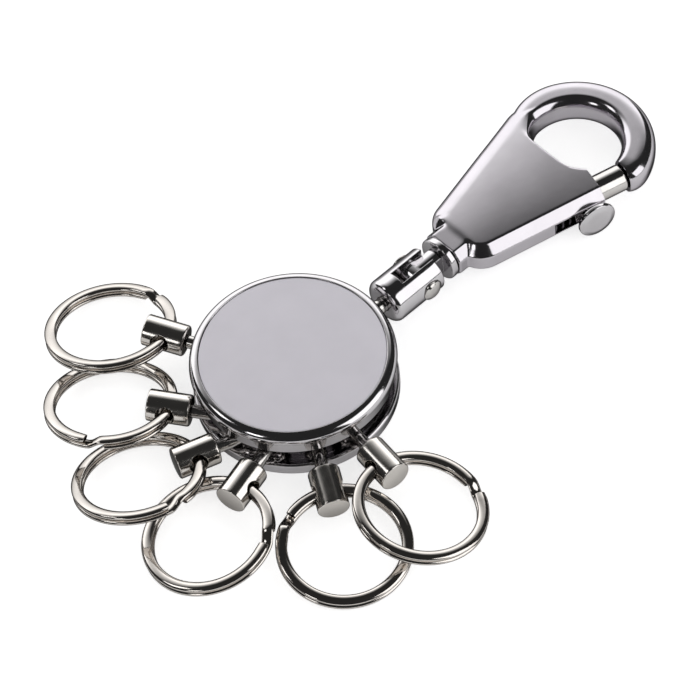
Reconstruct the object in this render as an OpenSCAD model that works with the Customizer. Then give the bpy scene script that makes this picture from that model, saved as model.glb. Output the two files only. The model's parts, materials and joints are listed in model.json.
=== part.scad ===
// Key organiser: a round disc housing that holds six swivelling key rings
// and a swivelling bolt snap hook. Millimetres, +Z up, the disc stands on z = 0,
// its axis is the Z axis and the snap hook lies along +X.

/* [Disc] */
// Diameter of the disc
disc_d = 34; // [33:0.5:38]
// Height of the disc
disc_h = 10; // [9.6:0.1:12]
// Height of the sliding base's flange
base_h = 2.4; // [2.2:0.1:2.8]
// Height of the slot between base and cap
slot_h = 3.2; // [2.9:0.05:3.3]
// Diameter of the satin face plate
face_d = 31.4; // [30:0.1:32]
// Thickness of the satin face plate
face_h = 0.5; // [0.3:0.1:0.8]
// Height of the rolled rim round the face
rim_h = 1.8; // [1.4:0.1:2]
// Depth of the recessed band under the rim
band_depth = 0.5; // [0.2:0.1:0.8]
// Rounding of the rim and of the base flange
rim_round = 0.7; // [0.3:0.1:0.8]

/* [Release] */
// Diameter of the core post
post_d = 5; // [4:0.1:5.4]
// Diameter of the base's hub
hub_d = 14; // [13:0.1:15]
// Diameter of the spring pocket in the hub
pocket_d = 10.8; // [10.4:0.1:11.4]
// Thickness of the hub's top wall
hub_wall = 1.1; // [0.8:0.1:1.4]
// Diameter of the washer under the post
washer_d = 9.6; // [9.4:0.1:9.8]
// Thickness of the washer
washer_h = 0.8; // [0.6:0.1:0.9]
// Diameter of the base screw's head
screw_head_d = 5.6; // [5:0.1:6.4]
// Height of the base screw's head
screw_head_h = 1.1; // [0.8:0.1:1.3]
// Diameter of the base screw's shank
screw_d = 2.5; // [2:0.1:2.8]
// Wire of the release spring
release_wire = 0.6; // [0.5:0.05:0.7]
// Outer diameter of the release spring
release_d = 9; // [8:0.1:9.4]
// Turns of the release spring
release_turns = 3; // [2:0.5:3]

/* [Ring holders] */
// Diameter of a stud's ball head
ball_d = 3.7; // [3.6:0.05:3.9]
// Distance from the disc's edge to the circle of the ball heads
race_inset = 3.6; // [3.2:0.1:3.8]
// Diameter of a stud's shaft
shaft_d = 2.2; // [1.8:0.1:2.4]
// Length from ball centre to barrel
shaft_l = 6; // [5.8:0.1:6.6]
// Diameter of a barrel
barrel_d = 5.3; // [5:0.1:5.4]
// Length of a barrel
barrel_l = 7.2; // [7:0.1:7.6]
// Diameter of the cross hole in a barrel
hole_d = 3.2; // [3.1:0.05:3.4]
// Place of the cross hole along the barrel
hole_share = 0.55;
// Diameter of the riveted end inside a barrel
rivet_d = 3.4; // [3:0.1:3.6]
// Thickness of the riveted end
rivet_h = 0.8; // [0.6:0.1:0.9]

/* [Split rings] */
// Outer diameter of a ring
ring_d = 22; // [21:0.1:22.4]
// Width of the ring's wire, measured along the radius
wire_w = 1.9; // [1.6:0.05:1.95]
// Height of one turn of the wire
wire_h = 0.98; // [0.8:0.02:1]
// Gap between the two turns
turn_gap = 0.1; // [0.06:0.01:0.12]
// Chamfer on the wire's edges
wire_edge = 0.26; // [0.15:0.01:0.35]

/* [Clevis] */
// Diameter of the clevis
clevis_d = 8; // [7.6:0.1:8.4]
// Length of the clevis
clevis_l = 10.5; // [10:0.1:12]
// Gap between the disc and the clevis
clevis_gap = 2.7; // [2.4:0.1:4]
// Width of the clevis slot
fork_w = 2.9; // [2.6:0.1:3.2]
// Length of the clevis slot
fork_l = 7; // [6.8:0.1:7.4]
// Diameter of the clevis pin
pin_d = 2.2; // [1.8:0.1:2.4]
// Diameter of the clevis pin's domed head
pin_head_d = 3.7; // [3.2:0.1:3.9]
// Distance from the clevis end to the pin
pin_edge = 2.8; // [2.6:0.1:3]
// Diameter of the clevis stud's shaft
stud_d = 2.6; // [2.2:0.1:2.8]

/* [Swivel] */
// Height of the tongue in the clevis
tongue_h = 5; // [4.6:0.1:5.6]
// Length from the pin to the collar
tongue_l = 4.9; // [4.9:0.1:6.4]
// Diameter of the swivel collar
collar_d = 7.8; // [6.6:0.1:8]
// Thickness of the swivel collar
collar_h = 1.2; // [0.9:0.1:1.6]
// Diameter of the swivel journal
journal_d = 3.2; // [2.8:0.1:3.4]
// Diameter of the swivel's inner head
journal_head_d = 4.6; // [4:0.1:4.8]

/* [Snap hook] */
// Thickness of the hook's body
body_h = 6.4; // [6.2:0.1:7]
// Diameter of the neck
neck_d = 8; // [7:0.1:8]
// Length from the neck's end to the loop's centre
body_l = 31.1; // [30.4:0.1:32.4]
// Diameter of the loop, outside
loop_d = 27.2; // [26.6:0.1:28.2]
// Width of the loop's bar
loop_w = 5.8; // [5.5:0.1:6]
// Height of the loop's bar
loop_h = 6; // [5.6:0.1:6.4]
// Width of the bevel round the body
bevel = 1.8; // [1.2:0.1:2]
// Width of the body at its shoulders
shoulder_w = 14.4; // [14:0.1:15.2]
// Radius of the shoulder corners
shoulder_r = 4.5; // [4:0.1:5]

/* [Bolt] */
// Diameter of the sliding bolt
bolt_d = 4.7; // [4.4:0.1:4.9]
// Length of the gate that the bolt closes
gate_l = 5.6; // [5:0.1:6]
// Angle of the bolt to the hook's length
bolt_angle = -14; // [-15:0.5:-13]
// Travel of the bolt
bolt_travel = 5.8; // [5.6:0.1:6]
// Diameter of the knob's stem
stem_d = 2.2; // [1.8:0.1:2.3]
// Diameter of the knob's cap
knob_d = 6.8; // [5.6:0.1:7]
// Height of the knob's cap
knob_h = 1.7; // [1.4:0.1:2.2]
// Wire of the bolt spring
bolt_wire = 0.4; // [0.3:0.05:0.45]
// Turns of the bolt spring
bolt_turns = 6; // [4:0.5:6]

/* [Fit] */
// Running clearance on a radius
fit = 0.05; // [0.03:0.01:0.08]
// Loose clearance between moving pieces
loose = 0.2; // [0.15:0.01:0.25]

/* [Hidden] */
$fn = 64;
overrun = 1;

// Colours of the finishes.
satin = [0.78, 0.77, 0.81];
chrome = [0.72, 0.72, 0.75];
nickel = [0.74, 0.71, 0.68];
steel = [0.55, 0.55, 0.58];

// Each holder as it lies: where its ball sits round the disc, how far its stud swings
// off the radius and lifts, how its barrel rolls, how its ring hangs in the hole, how
// far the ring slides in the hole, and where the wire's ends lie. Angles in degrees.
holder_count = 6;
holder_azimuth = [113.1, 171.9, 194, 211.9, 240.3, 265.6];
holder_swing = [4.3, -46.6, -33, -16.7, 0.1, -2.6];
holder_lift = [5.2, 3, 0.6, 0.2, -5.6, 0.7];
barrel_roll = [13, 15.9, 18.1, 9.6, -2.1, -12.6];
ring_flap = [-12.3, -6.3, 0.9, -5.2, 0.4, -4.4];
ring_play_share = [-1, -1, -1, 0.1, 0.1, 0.1];
ring_turn = [238, 82, 100, 102, 226, 76];

// Disc levels.
disc_r = disc_d / 2;
race_r = disc_r - race_inset;
slot_z = base_h;
cap_z = base_h + slot_h;
race_z = base_h + slot_h / 2;
rim_z = disc_h - rim_h;
race_w = ball_d + 2 * loose;
race_in = race_r - race_w / 2;
race_out = race_r + race_w / 2;
race_top = race_z + ball_d / 2 + loose;
race_bottom = race_z - ball_d / 2 - loose;
face_z = disc_h - face_h - loose / 2;
web_h = face_h * 2.2;
pocket_top = face_z - web_h;
skirt_w = band_depth * 1.4;

// Release levels: the washer and the screw's head stay above the resting face.
screw_z = base_h / 4;
washer_z = screw_z + screw_head_h;
post_z = washer_z + washer_h;
hub_z = pocket_top - 2 * loose;
spring_z = hub_z - hub_wall;
spigot_d = post_d * 0.7;
spigot_h = web_h / 2;
screw_l = post_d;
driver_w = screw_head_d / 6;
driver_h = screw_head_h / 2;

// Holder sizes.
hole_x = barrel_l * hole_share;
barrel_wall = (hole_x - hole_d / 2 - rivet_h) / 2;
barrel_edge = barrel_d / 12;
ring_mean_r = (ring_d - wire_w) / 2;
ring_play = (hole_d - wire_w) / 3;
ring_h = 2 * wire_h + turn_gap;
bridge_angle = 14;
end_angle = 2;

// Clevis and swivel places along the hook's axis.
clevis_x = disc_r + clevis_gap;
clevis_end = clevis_x + clevis_l;
fork_x = clevis_end - fork_l;
pin_x = clevis_end - pin_edge;
clevis_edge = clevis_d / 6;
stud_head_d = fork_w + pin_d / 2;
stud_head_h = shaft_d / 2.5;
pin_head_h = pin_head_d / 4;
pin_seat = clevis_d / 2 - pin_head_h / 3;
collar_x = pin_x + tongue_l;
journal_x = collar_x + collar_h;
neck_x = journal_x + loose;
neck_l = neck_d * 0.22;
journal_l = neck_d * 0.4 + fit;
journal_head_h = collar_h * 0.75;

// Snap hook plan, from the neck's end.
loop_x = body_l;
loop_r = (loop_d - loop_w) / 2;
eye_r = loop_r - loop_w / 2;
shoulder_x = neck_l + shoulder_r;
shoulder_y = shoulder_w / 2 - shoulder_r;
cheek_r = loop_d * 0.21;
cheek_x = loop_x - loop_w / 2;
cheek_y = loop_d * 0.46 - cheek_r;
bevel_z = body_h / 2 - bevel;
eye_flat = loop_x - loop_r / 2;
nose_angle = -100;
cheek_angle = 118;
gate_x = loop_x - loop_w * 0.72;
gate_y = -(loop_r - bolt_d * 0.45);
housing_r = bolt_d / 2 + fit + bolt_d * 0.26;

// Bolt places along the bolt's own axis, from the body's end face.
bore_d = bolt_d + 2 * fit;
bolt_back = -gate_l * 0.9;
bore_back = bolt_back - bolt_travel - bolt_turns * bolt_wire - 3 * loose;
knob_x = bolt_back + stem_d;
knob_y = -(housing_r + 4 * loose);
bolt_tip = gate_l - loose;
bolt_edge = bolt_d / 10;
bolt_spring_d = bolt_d - 2 * loose;
slot_w = stem_d + loose;

// Ring with chamfered corners turned round Z, from radius r0 to r1 and from z0 to z1.
module turned(r0, r1, z0, z1, edge) {
    rotate_extrude()
        polygon([[r0, z0], [r1 - edge, z0], [r1, z0 + edge], [r1, z1 - edge],
            [r1 - edge, z1], [r0, z1]]);
}

// Rod along +X from x0 to x1 with a chamfer at each end.
module rod(x0, x1, d, edge0 = 0, edge1 = 0) {
    translate([x0, 0, 0])
        rotate([0, 90, 0])
            rotate_extrude()
                polygon([[0, 0], [d / 2 - edge0, 0], [d / 2, edge0],
                    [d / 2, x1 - x0 - edge1], [d / 2 - edge1, x1 - x0], [0, x1 - x0]]);
}

// Open coil spring round Z from z0 to z1: one unbroken tube that ends flush.
coil_sides = 6;
coil_steps = 12;
function coil_point(r, wire, turns, z0, z1, step, side) =
    let (turn = 360 * step / coil_steps,
        around = 360 * side / coil_sides,
        radius = r + wire / 2 * cos(around),
        rise = (z1 - z0 - wire) * step / (coil_steps * turns))
    [radius * cos(turn), radius * sin(turn), z0 + wire / 2 + rise + wire / 2 * sin(around)];
module coil(d, wire, turns, z0, z1) {
    last = coil_steps * turns;
    points = [for (step = [0:last], side = [0:coil_sides - 1])
        coil_point((d - wire) / 2, wire, turns, z0, z1, step, side)];
    walls = [for (step = [0:last - 1], side = [0:coil_sides - 1])
        let (a = step * coil_sides + side,
            b = step * coil_sides + (side + 1) % coil_sides)
        each [[a, b, b + coil_sides], [a, b + coil_sides, a + coil_sides]]];
    start_cap = [[for (side = [coil_sides - 1:-1:0]) side]];
    end_cap = [[for (side = [0:coil_sides - 1]) last * coil_sides + side]];
    polyhedron(points, concat(walls, start_cap, end_cap));
}
function coil_gap(wire, turns, length) = (length - wire) / turns - wire;

// Domed cap on a disc, turned round Z: the rim is half the height, the rest is the dome.
module domed_cap(d, h) {
    dome_h = h / 2;
    dome_r = (d * d / 4 + dome_h * dome_h) / (2 * dome_h);
    cylinder(d = d, h = h - dome_h);
    intersection() {
        translate([0, 0, h - dome_r]) sphere(dome_r);
        translate([0, 0, h - dome_h]) cylinder(d = d, h = dome_h + overrun);
    }
}

// Place of holder i: the origin is its ball's centre and +X runs along its stud.
module at_holder(i) {
    rotate([0, 0, holder_azimuth[i - 1]])
        translate([race_r, 0, race_z])
            rotate([0, 0, holder_swing[i - 1]])
                rotate([0, -holder_lift[i - 1], 0])
                    children();
}

// Place of holder i's ring: the origin is the ring's centre and Z its axis.
module at_ring(i) {
    at_holder(i)
        translate([shaft_l + hole_x, 0, 0])
            rotate([barrel_roll[i - 1], 0, 0])
                rotate([0, -ring_flap[i - 1], 0])
                    translate([ring_mean_r + ring_play * ring_play_share[i - 1], 0, 0])
                        rotate([0, 0, ring_turn[i - 1]])
                            children();
}

// Place of the bolt: the origin is the body's end face and +X points to the loop's nose.
module at_bolt() {
    translate([neck_x + gate_x, gate_y, race_z])
        rotate([0, 0, bolt_angle])
            children();
}

module face_plate() {
    color(satin)
        translate([0, 0, face_z])
            cylinder(d = face_d, h = face_h);
}

module cap() {
    color(chrome)
        difference() {
            union() {
                turned(0, disc_r, rim_z, disc_h, rim_round);
                translate([0, 0, cap_z]) cylinder(d = disc_d - 2 * band_depth, h = rim_z - cap_z);
                translate([0, 0, slot_z + loose]) cylinder(r = race_in, h = slot_h);
            }
            translate([0, 0, face_z]) cylinder(d = face_d + 2 * fit, h = disc_h);
            translate([0, 0, cap_z - overrun])
                difference() {
                    cylinder(r = race_out, h = race_top - cap_z + overrun);
                    translate([0, 0, -overrun]) cylinder(r = race_in, h = disc_h);
                }
            cylinder(r = race_in - skirt_w, h = cap_z);
            cylinder(d = hub_d + 4 * loose, h = pocket_top);
            cylinder(d = spigot_d + 2 * fit, h = pocket_top + spigot_h);
        }
}

module core_post() {
    color(steel)
        difference() {
            union() {
                translate([0, 0, post_z]) cylinder(d = post_d, h = pocket_top - post_z);
                translate([0, 0, pocket_top - loose])
                    cylinder(d = spigot_d, h = spigot_h + loose / 2);
            }
            translate([0, 0, post_z - overrun])
                cylinder(d = screw_d + 2 * fit, h = screw_l + overrun - washer_h);
        }
}

module base_plate() {
    color(chrome)
        difference() {
            union() {
                turned(0, disc_r, 0, base_h, rim_round / 2);
                cylinder(d = hub_d, h = hub_z);
            }
            translate([0, 0, race_bottom])
                difference() {
                    cylinder(r = race_out, h = base_h);
                    translate([0, 0, -overrun]) cylinder(r = race_in, h = disc_h);
                }
            translate([0, 0, -overrun]) cylinder(d = pocket_d, h = spring_z + overrun);
            cylinder(d = post_d + 2 * fit, h = disc_h);
        }
}

module release_spring() {
    color(steel) coil(release_d, release_wire, release_turns, post_z + fit, spring_z - fit);
}

module washer() {
    color(steel)
        translate([0, 0, washer_z])
            difference() {
                cylinder(d = washer_d, h = washer_h);
                translate([0, 0, -overrun])
                    cylinder(d = screw_d + 2 * fit, h = washer_h + 2 * overrun);
            }
}

module base_screw() {
    color(steel)
        difference() {
            union() {
                translate([0, 0, screw_z]) cylinder(d = screw_head_d, h = screw_head_h);
                translate([0, 0, screw_z]) cylinder(d = screw_d, h = screw_head_h + screw_l - fit);
            }
            for (turn = [0, 90])
                rotate([0, 0, turn])
                    translate([-screw_head_d / 3, -driver_w / 2, screw_z - overrun])
                        cube([screw_head_d * 2 / 3, driver_w, driver_h + overrun]);
        }
}

module ring_stud(i) {
    color(nickel)
        at_holder(i) {
            sphere(d = ball_d);
            rod(0, shaft_l + barrel_wall + loose, shaft_d);
            rod(shaft_l + barrel_wall + loose / 2, shaft_l + barrel_wall + loose / 2 + rivet_h,
                rivet_d, rivet_h / 4, rivet_h / 4);
        }
}

module ring_barrel(i) {
    color(chrome)
        at_holder(i)
            translate([shaft_l, 0, 0])
                rotate([barrel_roll[i - 1], 0, 0])
                    difference() {
                        rod(0, barrel_l, barrel_d, barrel_edge, barrel_edge / 2);
                        rod(-overrun, barrel_wall + overrun / 4, shaft_d + 2 * fit);
                        rod(barrel_wall, barrel_wall + rivet_h + loose, rivet_d + loose);
                        translate([hole_x, 0, 0])
                            rotate([90, 0, 0])
                                cylinder(d = hole_d, h = 2 * barrel_d, center = true);
                    }
}

// Section of both turns of wire, with chamfered edges.
module ring_section() {
    translate([ring_mean_r, 0])
        polygon([[-wire_w / 2 + wire_edge, -ring_h / 2], [wire_w / 2 - wire_edge, -ring_h / 2],
            [wire_w / 2, -ring_h / 2 + wire_edge], [wire_w / 2, ring_h / 2 - wire_edge],
            [wire_w / 2 - wire_edge, ring_h / 2], [-wire_w / 2 + wire_edge, ring_h / 2],
            [-wire_w / 2, ring_h / 2 - wire_edge], [-wire_w / 2, -ring_h / 2 + wire_edge]]);
}

// Section of the slit between the turns, which opens in a vee on both sides.
module slit_section() {
    flat_w = wire_w / 2 - wire_edge;
    open_w = wire_w / 2 + wire_edge;
    open_h = turn_gap / 2 + 2 * wire_edge;
    translate([ring_mean_r, 0])
        polygon([[-flat_w, -turn_gap / 2], [flat_w, -turn_gap / 2], [open_w, -open_h],
            [open_w, open_h], [flat_w, turn_gap / 2], [-flat_w, turn_gap / 2],
            [-open_w, open_h], [-open_w, -open_h]]);
}

// Section of the cut behind a wire's end: the turn above or below the slit.
module end_section(z) {
    translate([ring_mean_r - wire_w, z]) square([2 * wire_w, ring_h]);
}

// Two turns of wire that cross over in a short bridge, with both ends at the bridge.
module split_ring(i) {
    color(nickel)
        at_ring(i)
            difference() {
                rotate_extrude() ring_section();
                rotate([0, 0, bridge_angle])
                    rotate_extrude(angle = 360 - bridge_angle) slit_section();
                rotate([0, 0, -end_angle]) rotate_extrude(angle = end_angle) end_section(0);
                rotate([0, 0, bridge_angle])
                    rotate_extrude(angle = end_angle) end_section(-ring_h);
            }
}

module clevis_stud() {
    color(nickel)
        translate([0, 0, race_z]) {
            translate([race_r, 0, 0]) sphere(d = ball_d);
            rod(race_r, fork_x - loose, stud_d);
            rod(fork_x - stud_head_h - loose, fork_x - loose, stud_head_d, stud_head_h / 4,
                stud_head_h / 4);
        }
}

module clevis() {
    color(chrome)
        translate([0, 0, race_z])
            difference() {
                rod(clevis_x, clevis_end, clevis_d, clevis_edge, clevis_edge / 4);
                rod(clevis_x - overrun, fork_x, stud_d + 2 * fit);
                rod(fork_x - stud_head_h - 2 * loose, fork_x + loose, stud_head_d + 2 * loose);
                translate([fork_x, -fork_w / 2, -clevis_d])
                    cube([fork_l + overrun, fork_w, 2 * clevis_d]);
                translate([pin_x, 0, 0])
                    rotate([90, 0, 0]) {
                        cylinder(d = pin_d + 2 * fit, h = 2 * clevis_d, center = true);
                        for (side = [0, 180])
                            rotate([side, 0, 0])
                                translate([0, 0, pin_seat])
                                    cylinder(d = pin_head_d + 2 * fit, h = clevis_d);
                    }
            }
}

module clevis_pin() {
    color(nickel)
        translate([pin_x, 0, race_z])
            rotate([90, 0, 0]) {
                cylinder(d = pin_d, h = 2 * pin_seat + pin_head_h / 2, center = true);
                translate([0, 0, pin_seat]) domed_cap(pin_head_d, pin_head_h);
                translate([0, 0, -pin_seat - pin_head_h / 2])
                    cylinder(d = pin_head_d, h = pin_head_h / 2);
            }
}

module swivel_shank() {
    color(chrome)
        translate([0, 0, race_z])
            difference() {
                union() {
                    intersection() {
                        union() {
                            rod(pin_x, collar_x + collar_h / 2, tongue_h);
                            translate([pin_x, 0, 0])
                                rotate([90, 0, 0])
                                    cylinder(d = tongue_h, h = fork_w, center = true);
                        }
                        translate([pin_x - tongue_h, loose / 2 - fork_w / 2, -tongue_h])
                            cube([tongue_l + 2 * tongue_h, fork_w - loose, 2 * tongue_h]);
                    }
                    rod(collar_x, journal_x, collar_d, collar_h / 4, collar_h / 6);
                    rod(journal_x - collar_h / 2, neck_x + journal_l + loose, journal_d);
                    rod(neck_x + journal_l + loose / 2,
                        neck_x + journal_l + loose / 2 + journal_head_h, journal_head_d,
                        journal_head_h / 4, journal_head_h / 4);
                }
                translate([pin_x, 0, 0])
                    rotate([90, 0, 0])
                        cylinder(d = pin_d + 2 * fit, h = 2 * tongue_h, center = true);
            }
}

// Disc of the body's outline with its bevel above and below.
module bevelled_disc(x, y, r) {
    translate([x, y, 0])
        rotate_extrude($fn = 32)
            polygon([[0, -body_h / 2], [r - bevel, -body_h / 2], [r, -bevel_z], [r, bevel_z],
                [r - bevel, body_h / 2], [0, body_h / 2]]);
}

// Round bar of the loop, bent round its centre from the nose to the left cheek.
module loop_bar(from, to) {
    translate([loop_x, 0, 0])
        rotate([0, 0, from])
            rotate_extrude(angle = to - from)
                translate([loop_r, 0])
                    polygon([for (a = [0:20:340])
                        [loop_w / 2 * cos(a), loop_h / 2 * sin(a)]]);
}

// Open inside of the loop, flat towards the body.
module eye_cut() {
    translate([0, 0, -body_h])
        linear_extrude(2 * body_h)
            intersection() {
                translate([loop_x, 0]) circle(eye_r);
                polygon([[eye_flat, loop_d], [eye_flat, -eye_r * 0.45],
                    [gate_x - bolt_d * 0.05, -eye_r * 0.63], [gate_x, -loop_d],
                    [loop_x + loop_d, -loop_d], [loop_x + loop_d, loop_d]]);
            }
}

module snap_body() {
    color(chrome)
        difference() {
            translate([neck_x, 0, race_z]) {
                rod(0, neck_l, neck_d, neck_d / 16);
                translate([neck_l, 0, 0])
                    rotate([0, 90, 0]) cylinder(d1 = neck_d, d2 = body_h - bevel / 2, h = shoulder_r);
                difference() {
                    hull() {
                        bevelled_disc(shoulder_x, shoulder_y, shoulder_r);
                        bevelled_disc(shoulder_x, -shoulder_y, shoulder_r);
                        bevelled_disc(cheek_x, cheek_y, cheek_r);
                        bevelled_disc(gate_x, gate_y, housing_r);
                    }
                    eye_cut();
                }
                loop_bar(nose_angle, cheek_angle);
            }
            at_bolt() {
                translate([0, -loop_w, -body_h]) cube([gate_l, 2 * loop_w, 2 * body_h]);
                rod(bore_back, overrun, bore_d);
                translate([knob_x - bolt_travel - slot_w / 2, knob_y - knob_d, -slot_w / 2])
                    cube([bolt_travel + slot_w, knob_d - knob_y, slot_w]);
            }
            translate([0, 0, race_z]) {
                rod(neck_x - overrun, neck_x + journal_l + loose, journal_d + 2 * fit);
                rod(neck_x + journal_l, neck_x + journal_l + journal_head_h + loose,
                    journal_head_d + 2 * fit);
            }
        }
}

module snap_bolt() {
    color(nickel)
        at_bolt()
            difference() {
                rod(bolt_back, bolt_tip, bolt_d, bolt_edge, bolt_edge);
                translate([knob_x, 0, 0])
                    rotate([90, 0, 0])
                        cylinder(d = stem_d + fit, h = bolt_d);
            }
}

module thumb_knob() {
    color(chrome)
        at_bolt()
            translate([knob_x, 0, 0])
                rotate([90, 0, 0]) {
                    translate([0, 0, loose]) cylinder(d = stem_d, h = -knob_y);
                    translate([0, 0, -knob_y]) domed_cap(knob_d, knob_h);
                }
}

module bolt_spring() {
    color(steel)
        at_bolt()
            rotate([0, 90, 0])
                coil(bolt_spring_d, bolt_wire, bolt_turns, bore_back + fit, bolt_back - fit);
}

echo(release_spring_gap = coil_gap(release_wire, release_turns, spring_z - post_z - 2 * fit));
echo(bolt_spring_gap = coil_gap(bolt_wire, bolt_turns, bolt_back - bore_back - 2 * fit));

face_plate();
cap();
core_post();
base_plate();
release_spring();
washer();
base_screw();
for (i = [1:holder_count]) {
    ring_stud(i);
    ring_barrel(i);
    split_ring(i);
}
clevis_stud();
clevis();
clevis_pin();
swivel_shank();
snap_body();
snap_bolt();
thumb_knob();
bolt_spring();
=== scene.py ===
import json
import math
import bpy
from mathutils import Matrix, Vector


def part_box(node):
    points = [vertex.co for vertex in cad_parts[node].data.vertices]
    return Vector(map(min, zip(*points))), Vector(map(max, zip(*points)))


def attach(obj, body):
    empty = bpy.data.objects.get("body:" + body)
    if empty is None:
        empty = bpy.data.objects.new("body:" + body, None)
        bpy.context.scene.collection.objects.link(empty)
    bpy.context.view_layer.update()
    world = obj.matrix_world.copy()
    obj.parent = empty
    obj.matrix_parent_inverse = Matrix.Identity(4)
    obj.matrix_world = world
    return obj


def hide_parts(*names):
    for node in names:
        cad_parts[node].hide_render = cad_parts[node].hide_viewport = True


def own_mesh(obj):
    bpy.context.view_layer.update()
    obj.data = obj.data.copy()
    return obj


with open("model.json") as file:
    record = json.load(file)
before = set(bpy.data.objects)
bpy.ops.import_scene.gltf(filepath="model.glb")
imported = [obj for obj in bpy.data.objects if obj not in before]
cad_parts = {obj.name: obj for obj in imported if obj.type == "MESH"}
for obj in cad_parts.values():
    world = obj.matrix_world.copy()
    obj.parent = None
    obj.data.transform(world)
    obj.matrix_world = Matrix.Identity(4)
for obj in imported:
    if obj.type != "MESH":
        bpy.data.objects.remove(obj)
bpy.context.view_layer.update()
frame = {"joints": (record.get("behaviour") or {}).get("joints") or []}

from types import SimpleNamespace

import bmesh
import bpy
from bpy.props import FloatProperty, FloatVectorProperty, IntProperty, PointerProperty
from mathutils import Matrix, Vector

bl_info = {
    "name": "Belt key clip",
    "version": (1, 0, 0),
    "blender": (4, 5, 0),
    "location": "3D View > Sidebar > Key clip",
    "description": "Plated key organiser with split rings and a bolt snap hook",
    "category": "Object",
}

JOINTS = {joint["name"]: joint for joint in frame["joints"]}
HOLDERS = range(1, 7)
MM = 0.001

# Values that the frame gives, in millimetres, as is every length below until a piece is shown.
DISC_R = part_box("cap")[1].x / MM
DISC_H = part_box("cap")[1].z / MM
CLEVIS_X, CLEVIS_END = (corner.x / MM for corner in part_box("clevis"))
PIN_X = JOINTS["swivel_fold"]["pos_m"][0] / MM
NECK_X, _, AXIS_Z = (at / MM for at in JOINTS["hook_turn"]["pos_m"])

FIT = 0.05
OVERSIZE = 9.0
X_AXIS = Vector((1, 0, 0))
LEVEL = Matrix.Translation((0, 0, AXIS_Z))

# Fullness of the hook bar's section: 2 is an oval, more is squarer.
FULLNESS = 2.5
# Steps along each straight side of the hook's outline.
STRAIGHT = 24
# Turn of each ring's cut ends round the ring, in degrees.
RING_ENDS = (238, 82, 100, 102, 226, 76)


def length(name, description, default):
    """Length for the sidebar, given here in millimetres."""
    return FloatProperty(name=name, description=description, default=default * MM, precision=5,
                         subtype="DISTANCE")


def angle(name, description, default):
    """Angle for the sidebar, given here in degrees."""
    return FloatProperty(name=name, description=description, default=math.radians(default),
                         subtype="ANGLE")


def tone(name, description, default):
    """Colour for the sidebar."""
    return FloatVectorProperty(name=name, description=description, default=default, size=3,
                               subtype="COLOR")


class DiscSizes(bpy.types.PropertyGroup):
    """Sizes of the disc"""

    face_r: length("Face radius", "Radius of the face plate", 15.35)
    face_h: length("Face height", "Thickness of the face plate", 0.5)
    face_drop: length("Face drop", "Depth below the rim", 0.1)
    rim_h: length("Rim height", "Height of the rolled rim", 1.8)
    rim_round: length("Rim rounding", "Rounding of the rim's edge", 1.5)
    rim_gap: length("Rim gap", "Gap between the face and the rim", 0.06)
    band_r: length("Band radius", "Radius of the band", 16.5)
    base_h: length("Base height", "Height of the flange", 2.4)
    slot_top: length("Slot top", "Height of the slot's upper edge", 5.6)
    race_in: length("Race inside", "Inner radius of the race", 11.35)
    race_out: length("Race outside", "Outer radius of the race", 15.45)
    race_low: length("Race floor", "Height of the race's floor", 1.95)
    race_top: length("Race top", "Height of the race's roof", 6.05)
    skirt_w: length("Skirt width", "Thickness of the skirt", 0.7)
    skirt_gap: length("Skirt gap", "Gap between the skirt and the base", 0.2)
    well_r: length("Well radius", "Radius of the well over the hub", 7.4)
    hub_r: length("Hub radius", "Radius of the base's hub", 7.0)
    pocket_r: length("Pocket radius", "Radius of the spring's pocket", 5.4)
    roof_h: length("Roof", "Thickness of the inner roofs", 1.1)
    post_r: length("Post radius", "Radius of the post in the middle", 2.5)


class HolderSizes(bpy.types.PropertyGroup):
    """Sizes of a ring holder"""

    ball_r: length("Ball radius", "Radius of the stud's ball head", 1.85)
    shaft_r: length("Shaft radius", "Radius of the stud's shaft", 1.1)
    shaft_l: length("Shaft length", "From ball centre to barrel", 6.0)
    rivet_r: length("Rivet radius", "Radius of the stud's riveted end", 1.7)
    barrel_r: length("Barrel radius", "Radius of the barrel", 2.65)
    barrel_l: length("Barrel length", "Length of the barrel", 7.2)
    hole_r: length("Hole radius", "Radius of the cross hole", 1.6)
    hole_x: length("Hole place", "Place of the cross hole", 3.96)


class RingSizes(bpy.types.PropertyGroup):
    """Sizes of a split ring"""

    mean_r: length("Mean radius", "Radius of the wire's middle", 10.05)
    wire_w: length("Wire width", "Width along the radius", 1.9)
    wire_h: length("Wire height", "Height of one turn", 0.98)
    gap: length("Turn gap", "Gap between the turns", 0.1)
    power: FloatProperty(name="Fullness", description="2 is an oval section, more is squarer", default=2.1)
    jog: angle("Jog angle", "Angle over which the wire changes turn", 14)
    end_gap: angle("End gap", "Angle between an end and the jog", 2)
    steps: IntProperty(name="Steps", description="Steps in one turn of wire", default=120)


class ClevisSizes(bpy.types.PropertyGroup):
    """Sizes of the clevis and the swivel shank"""

    barrel_r: length("Clevis radius", "Radius of the forked barrel", 4.0)
    fork_l: length("Fork length", "Length of the fork's arms", 7.0)
    fork_gap: length("Fork gap", "Gap between the arms", 2.9)
    pin_r: length("Pin radius", "Radius of the pin", 1.1)
    pin_head_r: length("Pin head radius", "Radius of the pin's heads", 1.85)
    tongue_h: length("Tongue height", "Height of the tongue on the pin", 5.0)
    tongue_w: length("Tongue width", "Width of the tongue in the fork", 2.7)
    collar_r: length("Collar radius", "Radius of the swivel's collar", 3.88)
    collar_l: length("Collar length", "Length of the swivel's collar", 1.2)
    journal_r: length("Journal radius", "Radius of the journal", 1.6)
    head_r: length("Head radius", "Radius of the journal's head", 2.3)


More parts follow.
